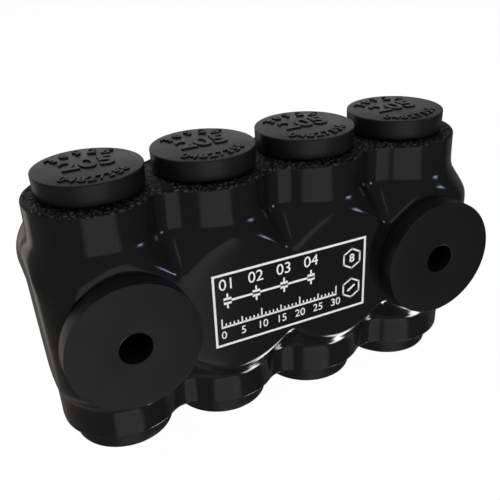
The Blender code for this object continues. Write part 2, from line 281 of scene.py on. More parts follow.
# A moulded or printed finish: cloudy roughness and a fine even grain.
def makeMoulded(name, colour, rough, grainMm, grainHeight):
    look = mouldedLook
    material, shader = newMaterial(name)
    point = addNode(material, "ShaderNodeTexCoord").outputs["Object"]
    cloud = addNode(material, "ShaderNodeTexNoise", inputs={
        "Vector": point, "Scale": perMm(look["cloudMm"]), "Detail": 3.0})
    grain = addNode(material, "ShaderNodeTexNoise", inputs={
        "Vector": point, "Scale": perMm(grainMm), "Detail": 3.0})
    vary = addNode(material, "ShaderNodeMapRange", inputs={
        "Value": cloud.outputs["Fac"], "From Min": noiseLow, "From Max": noiseHigh,
        "To Min": rough - look["roughVary"], "To Max": rough + look["roughVary"]})
    bump = addNode(material, "ShaderNodeBump", inputs={
        "Strength": look["bump"], "Distance": grainHeight / 1000, "Height": grain.outputs["Fac"]})
    addNode(material, shader, inputs={
        "Base Color": paint(colour), "Roughness": vary.outputs["Result"],
        "Normal": bump.outputs["Normal"]})
    return material


metalLook = {"lineDepth": 0.02, "roughVary": 0.08, "bump": 0.5}


# A cut metal finish: tool lines drawn out along one direction, in roughness and in height.
def makeMetal(name, colour, rough, lineMm, stretch):
    look = metalLook
    material, shader = newMaterial(name)
    point = addNode(material, "ShaderNodeTexCoord").outputs["Object"]
    stretched = addNode(material, "ShaderNodeVectorMath", {"operation": "MULTIPLY"}, {
        0: point, 1: stretch})
    lines = addNode(material, "ShaderNodeTexNoise", inputs={
        "Vector": stretched.outputs["Vector"], "Scale": perMm(lineMm), "Detail": 3.0})
    vary = addNode(material, "ShaderNodeMapRange", inputs={
        "Value": lines.outputs["Fac"], "From Min": noiseLow, "From Max": noiseHigh,
        "To Min": rough - look["roughVary"], "To Max": rough + look["roughVary"]})
    bump = addNode(material, "ShaderNodeBump", inputs={
        "Strength": look["bump"], "Distance": look["lineDepth"] / 1000,
        "Height": lines.outputs["Fac"]})
    addNode(material, shader, inputs={
        "Base Color": paint(colour), "Metallic": 1.0, "Roughness": vary.outputs["Result"],
        "Normal": bump.outputs["Normal"]})
    return material


coatMaterial = makeCoat()
rimMaterial = makeRim()
# Hard black plastic from a steel mould gives the plugs a satin sheen and soft broad highlights, and
# the bushings a slightly duller one with a shallower grain. Thick ink is flat and nearly white.
plugMaterial = makeMoulded("moulded plug, satin black", "#0f0f0f", 0.36, 0.35, 0.006)
bushingMaterial = makeMoulded("moulded bushing, satin black", "#0c0c0d", 0.4, 0.4, 0.004)
inkMaterial = makeMoulded("pad-printed white ink", "#e2e2e0", 0.5, 0.3, 0.004)
# Aluminium keeps fine mill lines, and zinc plate on turned steel is grey with a warm cast.
blockMaterial = makeMetal("milled aluminium, satin", "#c9cbcd", 0.36, 0.35, (1.0, 1.0, 0.08))
screwMaterial = makeMetal("zinc-plated steel, turned", "#b4b4b0", 0.3, 0.4, (0.2, 1.0, 0.2))
print("materials made")


# Coat: the form of the body

coat = {
    "collarR": 15.75, "boreR": 10.5, "rimS": 29.9, "rimRound": 0.7, "rearRimY": 38.35,
    "shoulderS": 21.1, "shoulderEndS": 19.6, "shoulderSoft": 1.3, "slope": 0.70,
    "rearSlopeMore": 0.80, "frontSlopeFrom": 0.3,  # sine of the turn where the front's height begins
    "valleyR": 6.6, "valleyNarrows": 0.12, "ridgeSoft": 0.8,
    "frontY": 18.2, "rearY": 26.6, "endX": 17.05, "endLean": 0.039,
    "frontCornerR": 11.26, "rearCornerR": 24.0,
    "rearOpenR": 11.3, "frontOpenR": 8.0, "blockS": 19.5, "blockRearY": 24.8,
    "rearFillet": 3.0, "rearSink": 0.8, "trimmedShare": 0.9,
    "perPitch": 44, "endSteps": 56, "roundSteps": 7, "flareRows": 14, "rearWallRows": 7,
    "denseFrom": 18.0, "denseTo": 24.0, "levelRows": (30, 25, 11)}


# The smaller of a and b, blended over a width k: the mean less half the softened difference.
def softMin(a, b, k):
    return (a + b - np.sqrt((a - b) ** 2 + k * k)) / 2


# a where it is above zero and 0 below, blended over a width k.
def softPositive(a, k):
    return (a + np.sqrt(a * a + k * k)) / 2


# Half depth at x of four equal circles in a row, with a round valley between each two.
def rowDepth(x, radius, valleyR):
    toPort = np.abs(x[..., None] - portX).min(-1)
    toValley = np.abs(x[..., None] - (portX[:-1] + pitch / 2)).min(-1)
    circle = np.sqrt(np.maximum(radius ** 2 - toPort ** 2, 0))
    roundY = np.sqrt((radius + valleyR) ** 2 - (pitch / 2) ** 2)
    valley = roundY - np.sqrt(np.maximum(valleyR ** 2 - toValley ** 2, 0))
    meet = pitch / 2 * valleyR / (radius + valleyR)
    return np.where(toValley < meet, valley, circle)


# Distance from the middle to the side of a box with round corners, in the direction turn.
def boxReach(turn, halfX, halfY, corner):
    c = np.maximum(np.cos(turn), tiny)
    s = np.maximum(np.abs(np.sin(turn)), tiny)
    cx, cy = halfX - corner, halfY - corner
    toX, toY = halfX / c, halfY / s
    along = cx * c + cy * s
    arc = along + np.sqrt(np.maximum(along * along - cx * cx - cy * cy + corner * corner, 0))
    return np.where(toX * s <= cy, toX, np.where(toY * c <= cx, toY, arc))


# Half depth of the body between the outer ports' axes, on the front or the rear side: the collars'
# row, which grows down the shoulder's slope until it meets the flat pad.
def straightDepth(x, s, edge, rear):
    start = coat["shoulderEndS"] if rear else coat["shoulderS"]
    slope = coat["slope"] + (coat["rearSlopeMore"] if rear else 0.0)
    grow = softPositive(start - np.abs(s), coat["shoulderSoft"])
    valleyR = coat["valleyR"] / (1 + coat["valleyNarrows"] * grow) + edge
    flat = coat["rearY"] if rear else coat["frontY"]
    row = rowDepth(x, coat["collarR"] - edge + slope * grow, valleyR)
    return softMin(row, flat, coat["ridgeSoft"])


# Distance from an outer port's axis to the body's end, by direction; 0 points along the row. The
# collar's circle grows down the slope until it meets a leaning box with round corners.
def endReach(turn, s, edge):
    frontFrom = coat["frontSlopeFrom"]
    front = np.clip((-np.sin(turn) - frontFrom) / (1 - frontFrom), 0, 1)
    start = coat["shoulderEndS"] + (coat["shoulderS"] - coat["shoulderEndS"]) * front
    slope = coat["slope"] + coat["rearSlopeMore"] * np.clip(np.sin(turn), 0, 1)
    radius = coat["collarR"] - edge + slope * softPositive(start - np.abs(s), coat["shoulderSoft"])
    halfX = coat["endX"] + coat["endLean"] * s
    boxFront = boxReach(turn, halfX, coat["frontY"], coat["frontCornerR"])
    boxRear = boxReach(turn, halfX, coat["rearY"], coat["rearCornerR"])
    return softMin(radius, np.where(turn < 0, boxFront, boxRear), coat["ridgeSoft"])


# Places along the row from the first port's axis to the last one's: sines of even steps, so that
# they lie closer together near the valleys.
def rowPlaces():
    perHalf = coat["perPitch"] // 2
    most = np.arcsin(pitch / 2 / coat["collarR"])
    half = np.sin(np.linspace(-most, most, 2 * perHalf + 1)) * coat["collarR"]
    row = np.concatenate([portX[i] + half[:-1] for i in range(ports)] + [portX[-1:] + half[-1]])
    return row[perHalf:len(row) - perHalf]


# Directions round one end, from the front to the rear.
def endTurns():
    return np.linspace(-np.pi / 2, np.pi / 2, coat["endSteps"] + 1)


# One closed outline per level: front side, right end, rear side, left end.
def ringAround(x, front, rear, turn, reach):
    endX = (reach * np.cos(turn))[..., 1:-1]
    endY = (reach * np.sin(turn))[..., 1:-1]
    rowX = np.broadcast_to(x, (len(front), len(x)))
    ringX = np.concatenate([rowX, portX[-1] + endX, rowX[:, ::-1], portX[0] - endX[:, ::-1]], 1)
    ringY = np.concatenate([-front, endY, rear[:, ::-1], endY[:, ::-1]], 1)
    return ringX, ringY


# Inset and height of the round on a rim's outer edge, from the wall to the top.
def rimEdges():
    turn = np.linspace(0, np.pi / 2, coat["roundSteps"])
    return coat["rimRound"] * (1 - np.cos(turn)), coat["rimRound"] * np.sin(turn)


# Heights of the wall's levels from the middle up to the rim's round, densest over the shoulders.
def wallLevels():
    marks = (0.0, coat["denseFrom"], coat["denseTo"], coat["rimS"] - coat["rimRound"])
    levels = [[0.0]]
    for low, high, rows in zip(marks, marks[1:], coat["levelRows"]):
        levels.append(np.linspace(low, high, rows + 1)[1:])
    return np.concatenate(levels)


# The coat's outside without its rear collars: one closed outline for each level, whose half depth
# grows down a cone from the collars to the flat pads, with the rounds of both rims at the ends.
def bodyGrid():
    inset, up = rimEdges()
    wall = wallLevels()
    upper = np.concatenate([wall, coat["rimS"] - coat["rimRound"] + up[1:]])
    edge = np.concatenate([np.zeros(len(wall)), inset[1:]])
    level = np.concatenate([-upper[:0:-1], upper])[:, None]
    edge = np.concatenate([edge[:0:-1], edge])[:, None]
    x, turn = rowPlaces(), endTurns()
    front = straightDepth(x, level, edge, False)
    rear = straightDepth(x, level, edge, True)
    ringX, ringY = ringAround(x, front, rear, turn, endReach(turn, level, edge))
    return np.stack([ringX, ringY, level + 0 * ringX], -1)


halvings = 40


# Where inside turns from true to false between low and high, found by halving.
def halveTo(inside, low, high):
    for step in range(halvings):
        middle = (low + high) / 2
        within = inside(middle)
        low = np.where(within, middle, low)
        high = np.where(within, high, middle)
    return (low + high) / 2


# Rims: the trimmed tops of the collars

rim = {
    "steps": 160, "rows": 12, "lip": 0.35, "lipSteps": 5, "wallFrom": 0.6, "wallRows": 3,
    "grainDown": 0.24, "grainUp": 0.08, "searchFrom": 8.0, "searchPast": 3.0}
grain = np.random.default_rng(12)


# Distance from one port's axis to the rim's outline or to the middle of the gap to its neighbour.
def outlineReach(turn, port, edge):
    radius = coat["collarR"] - edge
    valleyR = coat["valleyR"] + edge
    c, s = np.cos(turn), np.abs(np.sin(turn))
    toCell = pitch / 2 / np.maximum(np.abs(c), tiny)
    low = np.full(len(turn), rim["searchFrom"])
    high = np.minimum(toCell, radius + rim["searchPast"])
    reach = halveTo(lambda r: r * s <= rowDepth(portX[port] + r * c, radius, valleyR), low, high)
    if port == 0:
        return np.where(c > 0, reach, radius)
    if port == ports - 1:
        return np.where(c < 0, reach, radius)
    return reach


# Top of one collar: from the outline in to its bore, over a small round, then down the bore. The
# grain lifts and sinks every point of the top by a random height.
def rimGrid(port, deep):
    turn = fullTurn(rim["steps"])
    outer = outlineReach(turn, port, coat["rimRound"])
    lip = rim["lip"]
    share = np.linspace(0, 1, rim["rows"])[:, None]
    top = outer + (coat["boreR"] + lip - outer) * share
    bend = np.linspace(0, np.pi / 2, rim["lipSteps"])[1:, None]
    curve = coat["boreR"] + lip - lip * np.sin(bend) + 0 * turn
    wall = np.full((rim["wallRows"], len(turn)), coat["boreR"])
    radius = np.concatenate([top, curve, wall])
    wallHeight = np.linspace(-rim["wallFrom"], -deep, rim["wallRows"])
    height = np.concatenate([np.zeros(len(top)), -lip * (1 - np.cos(bend[:, 0])), wallHeight])
    height = height[:, None] + 0 * radius
    grainy = slice(1, rim["rows"] - 1)
    height[grainy] += grain.uniform(-rim["grainDown"], rim["grainUp"], height[grainy].shape)
    return np.stack([radius * np.cos(turn), radius * np.sin(turn), height], -1)


# Rear collars

rearSearch = (4.0, 34.0)  # the body's rear lies between these everywhere


# How far back the body reaches at (x, s): between the outer ports' axes by its half depth there,
# and past them by its reach in the direction of the point.
def rearReach(x, s):
    beyond = np.abs(x) - portX[-1]
    straight = straightDepth(np.clip(x, portX[0], portX[-1]), s, 0.0, True)

    def inside(y):
        turn = np.arctan2(y, np.maximum(beyond, tiny))
        atEnd = np.hypot(y, np.maximum(beyond, 0)) < endReach(turn, s, 0.0)
        return np.where(beyond > 0, atEnd, y < straight)

    low, high = (np.full(x.shape, end) for end in rearSearch)
    return halveTo(inside, low, high)


# The four joined rear collars, flared where they leave the body, then rounded at the rim. The flare
# is a quarter circle, smaller where the body falls away steeply.
def rearGrid():
    x, turn = rowPlaces(), endTurns()
    depth = rowDepth(x, coat["collarR"], coat["valleyR"])[None]
    reach = np.full((1, len(turn)), coat["collarR"])
    ringX, ringZ = (ring[0] for ring in ringAround(x, depth, depth, turn, reach))
    alongX = np.roll(ringX, -1) - np.roll(ringX, 1)
    alongZ = np.roll(ringZ, -1) - np.roll(ringZ, 1)
    size = np.hypot(alongX, alongZ)
    outX, outZ = alongZ / size, -alongX / size
    w = coat["rearFillet"]
    near = rearReach(ringX, ringZ)
    far = rearReach(ringX + w * outX, ringZ + w * outZ)
    w = w / (1 + ((near - far) / w) ** 2)
    sink = coat["rearSink"]
    flareY = near - sink + (w + sink) * np.linspace(0, 1, coat["flareRows"])[:, None]
    flareOut = w - np.sqrt(np.maximum(w * w - np.clip(w - (flareY - near), 0, w) ** 2, 0))
    inset, up = (value[1:, None] for value in rimEdges())
    wallTop = coat["rearRimY"] - coat["rimRound"]
    wallShare = np.linspace(0, 1, coat["rearWallRows"] + 1)[1:, None]
    wallY = flareY[-1] + (wallTop - flareY[-1]) * wallShare
    y = np.concatenate([flareY, wallY, wallTop + up + 0 * near])
    out = np.concatenate([flareOut, 0 * wallY, -inset + 0 * near])
    return np.stack([ringX + out * outX, y, ringZ + out * outZ], -1)


# True where a quad of the body stands clear of the rear bores and of the two mount holes.
def outsideHoles(middles):
    x, y, s = middles[:, 0], middles[:, 1], middles[:, 2]
    away = np.hypot(x[:, None] - portX, s[:, None])
    inRear = (y > 0) & (away.min(1) < coat["rearOpenR"])
    inFront = (y < 0) & (away[:, [0, -1]].min(1) < coat["frontOpenR"])
    return ~(inRear | inFront)


coatParts = MeshParts()
trimmed = coat["rimRound"] * coat["trimmedShare"]
body = bodyGrid()
height = np.abs(body[:, 0, 2])
edgeRows = np.minimum(height[1:], height[:-1]) > coat["rimS"] - trimmed
coatParts.add(body, slot=edgeRows, stays=outsideHoles)
rear = rearGrid()
edgeRows = rear[:-1, 0, 1] > coat["rearRimY"] - trimmed
coatParts.add(rear, slot=edgeRows, flip=True)
for port in range(ports):
    grid = rimGrid(port, coat["rimS"] - coat["blockS"])
    for axis, s in (("+z", coat["rimS"]), ("-z", -coat["rimS"])):
        coatParts.add(alongAxis(grid, axis, (portX[port], 0, s)), slot=1, flip=True)
    grid = rimGrid(ports - 1 - port, coat["rearRimY"] - coat["blockRearY"])
    coatParts.add(alongAxis(grid, "+y", (portX[port], coat["rearRimY"], 0)), slot=1, flip=True)
coatPiece = coatParts.build("coat", [coatMaterial, rimMaterial])
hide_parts("jacket")
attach(coatPiece, "connector")
print("coat made", len(coatPiece.data.polygons))


# Plugs

plug = {
    "topR": 12.7, "footR": 12.54, "proud": 5.5, "lift": 0.6, "long": 7.4, "wall": 1.5, "web": 0.4,
    "barrelGap": 0.55, "ribGap": 0.2,  # both to the bore of the collar
    "tipIn": 0.3, "ribAt": 1.9, "ribEnd": 2.5,
    "edge": 0.28, "footBend": 0.25, "headBend": 0.3, "ribBend": 0.1, "tipBend": 0.2,
    "webBend": 0.6, "bendSteps": 5, "steps": 128}

marks = {
    "height": 0.36, "sink": 0.02, "numberSize": 8.3, "numberPlace": (0.4, 0.9),
    "numberBold": 0.2, "numberWide": 1.04, "arcR": 9.3,
    # figures, direction of the first, step to the next, size, bold and turn to upright
    "arcs": (("36925", 134, -22, 4.3, 0.1, -90), ("04827356", -138, 13.4, 3.9, 0.08, 90))}


# Half section of a plug, from the middle of its underside round the barrel and head to its top.
def plugProfile():
    p = plug
    barrelR, ribR = coat["boreR"] - p["barrelGap"], coat["boreR"] - p["ribGap"]
    inner, tip = barrelR - p["wall"], -p["long"]
    outline = [
        (0.0, -p["web"], 0), (inner, -p["web"], p["webBend"]), (inner, tip, p["tipBend"]),
        (barrelR - p["tipIn"], tip, p["tipBend"]), (ribR, tip + p["ribAt"], p["ribBend"]),
        (barrelR, tip + p["ribEnd"], p["ribBend"]), (barrelR, p["lift"], p["headBend"]),
        (p["footR"], p["lift"], p["footBend"]), (p["topR"], p["proud"], p["edge"]),
        (0.0, p["proud"], 0)]
    return rounded(outline, p["bendSteps"])


figureFine = 6  # steps in each curved stretch of a figure


# Points of the plane turned about its origin, then moved.
def turnFlat(points, turn, place):
    c, s = np.cos(turn), np.sin(turn)
    return points @ np.array([[c, s], [-s, c]]) + np.array(place)


# Figures one unit thick, as points and faces lying in the plane with their foot at 0.
def textMesh(figures, size, place, turn=0.0, bold=0.0, wide=1.0):
    curve = bpy.data.curves.new("figures", "FONT")
    curve.body = figures
    curve.size = size
    curve.align_x = "CENTER"
    curve.align_y = "CENTER"
    curve.extrude = 0.5  # to each side of the plane
    curve.offset = bold
    curve.resolution_u = figureFine
    helper = bpy.data.objects.new("figures", curve)
    bpy.context.scene.collection.objects.link(helper)
    bpy.context.view_layer.update()
    evaluated = helper.evaluated_get(bpy.context.evaluated_depsgraph_get())
    mesh = bpy.data.meshes.new_from_object(evaluated)
    bpy.data.objects.remove(helper)
    points = np.empty(len(mesh.vertices) * 3, np.float32)
    mesh.vertices.foreach_get("co", points)
    points = points.reshape(-1, 3).astype(float)
    faces = [tuple(p.vertices) for p in mesh.polygons]
    bpy.data.meshes.remove(mesh)
    points[:, 0] *= wide
    return np.column_stack([turnFlat(points[:, :2], turn, place), points[:, 2] + 0.5]), faces


# A box one unit thick round that centre, turned in its plane.
def barBlock(cx, cy, width, height, turn=0.0):
    corner = np.array([[-1, -1], [1, -1], [1, 1], [-1, 1]]) * np.array([width, height]) / 2
    flat = turnFlat(corner, turn, (cx, cy))
    foot, top = (np.column_stack([flat, np.full(4, level)]) for level in (0.0, 1.0))
    faces = [(3, 2, 1, 0), (4, 5, 6, 7), (0, 1, 5, 4), (1, 2, 6, 5), (2, 3, 7, 6), (3, 0, 4, 7)]
    return np.concatenate([foot, top]), faces


# Many small solids as one list of points and one of faces.
def joinFlat(pieces):
    points, faces, count = [], [], 0
    for somePoints, someFaces in pieces:
        points.append(somePoints)
        faces += [tuple(v + count for v in face) for face in someFaces]
        count += len(somePoints)
    return np.concatenate(points), faces


# An object of those points, in the object's own grid, and faces of any number of sides.
def plainObject(name, points, faces, material):
    mesh = bpy.data.meshes.new(name)
    mesh.from_pydata(toFrame(points).tolist(), [], faces)
    mesh.validate()
    mesh.update()
    mesh.materials.append(material)
    made = bpy.data.objects.new(name, mesh)
    bpy.context.scene.collection.objects.link(made)
    return made


# Plain raised figures: some on an upper arc, a large number, and some on a lower arc. Each figure
# on an arc is turned to stand along its radius.
def plugMarks(number):
    pieces = [textMesh(number, marks["numberSize"], marks["numberPlace"],
                       bold=marks["numberBold"], wide=marks["numberWide"])]
    for figures, first, step, size, bold, upright in marks["arcs"]:
        for k, figure in enumerate(figures):
            turn = np.radians(first + step * k)
            place = (marks["arcR"] * np.cos(turn), marks["arcR"] * np.sin(turn))
            pieces.append(textMesh(figure, size, place, turn + np.radians(upright), bold))
    points, faces = joinFlat(pieces)
    points[:, 2] = plug["proud"] - marks["sink"] + points[:, 2] * (marks["height"] + marks["sink"])
    return points, faces


for port in range(ports):
    for side, axis, y, s, word, number in (
        ("top", "+z", 0, coat["rimS"], "wire_plug_top", "205"),
        ("bottom", "-z", 0, -coat["rimS"], "wire_plug_bottom", "205"),
        ("rear", "+y", coat["rearRimY"], 0, "screw_plug", "306"),
    ):
        node = f"{word}_{port + 1}"
        place = (portX[port], y, s)
        parts = MeshParts()
        parts.add(alongAxis(lathe(plugProfile(), plug["steps"]), axis, place))
        piece = parts.build(f"plug_{side}_{port + 1}", [plugMaterial])
        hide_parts(node)
        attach(piece, node)
        points, faces = plugMarks(number)
        placed = alongAxis(points, axis, place)
        raised = plainObject(f"marks_{side}_{port + 1}", placed, faces, plugMaterial)
        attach(raised, node)
print("plugs made")


# Mount bushings

bushing = {
    "holeR": 3.86, "sleeveR": 6.6, "gap": 0.15, "backBend": 0.1, "holeBend": 0.3,
    "discR": 15.85, "proud": 4.75, "padGap": 0.05, "discEdge": 0.09, "discSteps": 192,
    "flangeR": 9.9, "flangeFrom": 24.95, "flangeThick": 3.0, "flangeEdge": 0.4, "flangeSteps": 128,
    "discBendSteps": 6, "flangeBendSteps": 5}


# Half section of a bushing, from near the row's plane along the sleeve, over the disc and back
# down the hole.
def bushingProfile(radius, back, face, edge, steps):
    b = bushing
    outline = [
        (b["holeR"], b["gap"], 0), (b["sleeveR"], b["gap"], 0), (b["sleeveR"], back, 0),
        (radius, back, b["backBend"]), (radius, face, edge), (b["holeR"], face, b["holeBend"]),
        (b["holeR"], b["gap"], 0)]
    return rounded(outline, steps)


discShape = lathe(bushingProfile(
    bushing["discR"], coat["frontY"] + bushing["padGap"], coat["frontY"] + bushing["proud"],
    bushing["discEdge"], bushing["discBendSteps"]), bushing["discSteps"])
flangeShape = lathe(bushingProfile(
    bushing["flangeR"], bushing["flangeFrom"], bushing["flangeFrom"] + bushing["flangeThick"],
    bushing["flangeEdge"], bushing["flangeBendSteps"]), bushing["flangeSteps"])
for port, side in ((0, "left"), (ports - 1, "right")):
    for end, axis, shape in (("front", "-y", discShape), ("rear", "+y", flangeShape)):
        parts = MeshParts()
        parts.add(alongAxis(shape, axis, (portX[port], 0, 0)))
        piece = parts.build(f"{end}_bushing_{side}", [bushingMaterial])
        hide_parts(f"mount_bushing_{end}_{side}")
        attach(piece, "connector")
print("bushings made")


# Set screws

screw = {
    "majorR": 7.1, "threadDeep": 0.75, "threadPitch": 1.41, "flat": 0.08,  # share of the pitch
    "long": 14.5, "tipY": 9.0, "pointR": 5.2, "pointSlope": 1.2, "chamfer": 0.7,
    "across": 7.94, "socketDeep": 7.0, "lead": 0.45, "leadDeep": 0.35, "coneHigh": 1.2,
    # the cone below the socket: share of its width, and height above its bottom
    "cone": ((0.98, 1.15), (0.6, 0.75), (0.2, 0.25), (0.0, 0.0)),
    "steps": 144, "threadRows": 150, "tipRows": 8, "faceRows": (0.66, 0.33, 0.0), "wallRows": 5}


# Thread outside, then over the rear face and down a hex socket, all as one grid round the axis. The
# thread is a flattened zigzag of height less turn, cut to a cone at the tip and a chamfer at the
# rear; the hexagon is its half width over the cosine of the turn from the middle of a side.
def screwGrid():
    turn = fullTurn(screw["steps"])
    top = screw["long"]
    height = np.linspace(0, top, screw["threadRows"])[:, None]
    wave = np.abs(((height / screw["threadPitch"] - turn / (2 * np.pi)) % 1) * 2 - 1)
    groove = np.clip((wave - screw["flat"]) / (1 - 2 * screw["flat"]), 0, 1)
    limit = np.minimum(screw["pointR"] + height * screw["pointSlope"], screw["majorR"])
    limit = np.minimum(limit, screw["majorR"] - screw["chamfer"] + top - height)
    radius = np.minimum(screw["majorR"] - screw["threadDeep"] * groove, limit)
    hexagon = screw["across"] / 2 / np.cos((turn % (np.pi / 3)) - np.pi / 6)
    tip = np.linspace(0, 1, screw["tipRows"])[:, None] * screw["pointR"] + 0 * turn
    lead = hexagon + screw["lead"]
    face = np.stack([lead + (radius[-1] - lead) * share for share in screw["faceRows"]])
    walls = np.stack([hexagon] * screw["wallRows"])
    coneShare, coneUp = np.array(screw["cone"]).T
    radii = np.concatenate([tip, radius, face, walls, hexagon * coneShare[:, None]])
    deep = top - screw["socketDeep"]
    wallHeight = np.linspace(top - screw["leadDeep"], deep + screw["coneHigh"], screw["wallRows"])
    heights = np.concatenate([
        np.zeros(len(tip)), height[:, 0], np.full(len(face), top), wallHeight, deep + coneUp])
    return np.stack([radii * np.cos(turn), radii * np.sin(turn), heights[:, None] + 0 * radii], -1)


for port in range(1, ports - 1):
    node = f"set_screw_{port + 1}"
    parts = MeshParts()
    parts.add(alongAxis(screwGrid(), "+y", (portX[port], screw["tipY"], 0)))
    piece = parts.build(f"screw_{port + 1}", [screwMaterial], smooth=False)
    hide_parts(node)
    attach(piece, node)
print("set screws made")


# Block inside the coat, as the CAD has it

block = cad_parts["terminal_block"]
block.data.materials.clear()
block.data.materials.append(blockMaterial)


# Print on the front pad: X and S of places, from the middle of the pad

printing = {
    "width": 42.6, "height": 19.9, "line": 0.58, "thick": 0.06, "sink": 0.02,
    "signFrom": -17.6, "signStep": 7.6, "signS": 2.5, "signWide": 2.0, "signHigh": 1.8,
    "stubAway": 1.4, "stubWide": 0.46, "stubHigh": 1.2, "barPast": 0.9, "barHigh": 0.55,
    "portNumberS": 6.9, "portNumberSize": 4.2,
    "gaugeFrom": -19.4, "gaugeLong": 32.0, "gaugeS": -4.6, "gaugeMost": 30, "gaugePast": 0.2,
    "gaugeHigh": 0.5, "tickWide": 0.34, "tickHigh": {10: 2.4, 5: 1.7, 1: 1.0},
    "gaugeNumberFrom": -19.0, "gaugeNumberLong": 31.52, "gaugeNumberS": -6.9,
    "gaugeNumberSize": 3.0, "gaugeNumberStep": 5,
    "hexagonX": 17.2, "hexagonS": (4.6, -4.0), "hexagonSide": 2.75, "hexagonLine": 0.42,
    "hexagonLap": 0.4, "hexagonNumberSize": 3.2, "hexagonNumberBold": 0.05,
    "slashLong": 2.6, "slashHigh": 0.55, "slashTurn": 0.6}


# Four bars that frame the field.
def fieldPieces():
    w, h, t = printing["width"], printing["height"], printing["line"]
    flat = [barBlock(0, side * (h - t) / 2, w, t) for side in (1, -1)]
    return flat + [barBlock(side * (w - t) / 2, 0, t, h - 2 * t) for side in (-1, 1)]


# A sign for each port, a block with a stub up and one down, on a bar that joins them, and a number
# over each.
def signPieces():
    p = printing
    places = p["signFrom"] + p["signStep"] * np.arange(ports)
    long = places[-1] - places[0] + 2 * p["barPast"]
    pieces = [barBlock(places.mean(), p["signS"], long, p["barHigh"])]
    for port, x in enumerate(places):
        pieces.append(barBlock(x, p["signS"], p["signWide"], p["signHigh"]))
        for away in (p["stubAway"], -p["stubAway"]):
            pieces.append(barBlock(x, p["signS"] + away, p["stubWide"], p["stubHigh"]))
        pieces.append(textMesh(f"{port + 1:02d}", p["portNumberSize"], (x, p["portNumberS"])))
    return pieces


# A strip gauge: a line with a tick for each unit, taller at every fifth and tenth, and numbers.
def gaugePieces():
    p = printing
    middle = p["gaugeFrom"] + p["gaugeLong"] / 2
    pieces = [barBlock(middle, p["gaugeS"], p["gaugeLong"] + 2 * p["gaugePast"], p["gaugeHigh"])]
    for k in range(p["gaugeMost"] + 1):
        high = next(high for every, high in p["tickHigh"].items() if k % every == 0)
        x = p["gaugeFrom"] + p["gaugeLong"] * k / p["gaugeMost"]
        pieces.append(barBlock(x, p["gaugeS"] + high / 2, p["tickWide"], high))
    for k in range(0, p["gaugeMost"] + 1, p["gaugeNumberStep"]):
        x = p["gaugeNumberFrom"] + p["gaugeNumberLong"] * k / p["gaugeMost"]
        pieces.append(textMesh(str(k), p["gaugeNumberSize"], (x, p["gaugeNumberS"])))
    return pieces


# Two hexagons of six bars, one round a number and one round a slanting bar.
def hexagonPieces():
    p = printing
    x, (upper, lower) = p["hexagonX"], p["hexagonS"]
    reach = p["hexagonSide"] * np.cos(np.pi / 6)
    pieces = []
    for s in (upper, lower):
        for turn in np.radians(np.arange(6) * 60):
            cx, cy = x + reach * np.cos(turn), s + reach * np.sin(turn)
            long = p["hexagonSide"] + p["hexagonLap"]
            pieces.append(barBlock(cx, cy, long, p["hexagonLine"], turn + np.pi / 2))
    number = textMesh("8", p["hexagonNumberSize"], (x, upper), bold=p["hexagonNumberBold"])
    slash = barBlock(x, lower, p["slashLong"], p["slashHigh"], p["slashTurn"])
    return pieces + [number, slash]


points, faces = joinFlat(fieldPieces() + signPieces() + gaugePieces() + hexagonPieces())
out = coat["frontY"] + points[:, 2] * printing["thick"] - printing["sink"]
placed = np.stack([points[:, 0], -out, points[:, 1]], -1)
printPiece = plainObject("front_print", placed, faces, inkMaterial)
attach(printPiece, "connector")
print("print made")


# Floor, light and camera

floorLook = {
    "colour": "#ededed", "rough": 0.8, "shine": 0.1, "size": 4.0, "below": 0.02,
    "glow": 0.96, "bright": 1.02}


# White to the camera, with a faint shadow; a plain pale floor to every other ray but glossy ones,
# which pass through it. It lies just below the figures of the lower plugs.
def makeFloor():
    look = floorLook
    size = look["size"]
    low = -(marks["height"] + look["below"]) / 1000
    corners = [(-size, -size, low), (size, -size, low), (size, size, low), (-size, size, low)]
    mesh = bpy.data.meshes.new("floor")
    mesh.from_pydata(corners, [], [(0, 1, 2, 3)])
    material, shader = newMaterial("pale studio floor, matte paint")
    addNode(material, shader, inputs={
        "Base Color": paint(look["colour"]), "Roughness": look["rough"],
        "Specular IOR Level": look["shine"]})
    glow = addNode(material, "ShaderNodeEmission", inputs={
        "Color": (1, 1, 1, 1), "Strength": look["bright"]})
    path = addNode(material, "ShaderNodeLightPath")
    share = addNode(material, "ShaderNodeMath", {"operation": "MULTIPLY"}, {
        0: path.outputs["Is Camera Ray"], 1: look["glow"]})
    blend = addNode(material, "ShaderNodeMixShader", inputs={
        0: share.outputs["Value"], 1: shader.outputs["BSDF"], 2: glow.outputs["Emission"]})
    addNode(material, material.node_tree.nodes["Material Output"], inputs={
        "Surface": blend.outputs["Shader"]})
    mesh.materials.append(material)
    made = bpy.data.objects.new("floor", mesh)
    made.visible_glossy = False
    bpy.context.scene.collection.objects.link(made)


# Soft lights round the object as a shiny surface mirrors them: degrees to the right of the camera's
# side, degrees above the horizon, half sizes, soft edge, brightness and colour.
roomLights = {
    "large front softbox": (19, -21, 27, 39, 4, 0.36, "#ffffff"),
    "pale wall behind": (192, 16, 32, 16, 9, 0.5, "#ffffff"),
    "glow behind on the right": (136, -4, 20, 22, 10, 0.10, "#f2f5ff"),
    "cool lamp on the right": (78, 14, 4, 3, 2.5, 9.0, "#c9d3ff"),
    "low strip on the right": (102, -60, 32, 4.0, 2.5, 7.5, "#ffffff"),
    "strip behind on the left": (-128, -12, 11, 22, 6, 0.42, "#fffaf2"),
    "high lamp on the right": (38, 52, 6, 7, 4, 0.6, "#ffffff"),
    "glow low on the right": (120, -48, 18, 18, 12, 0.12, "#f2f5ff"),
}
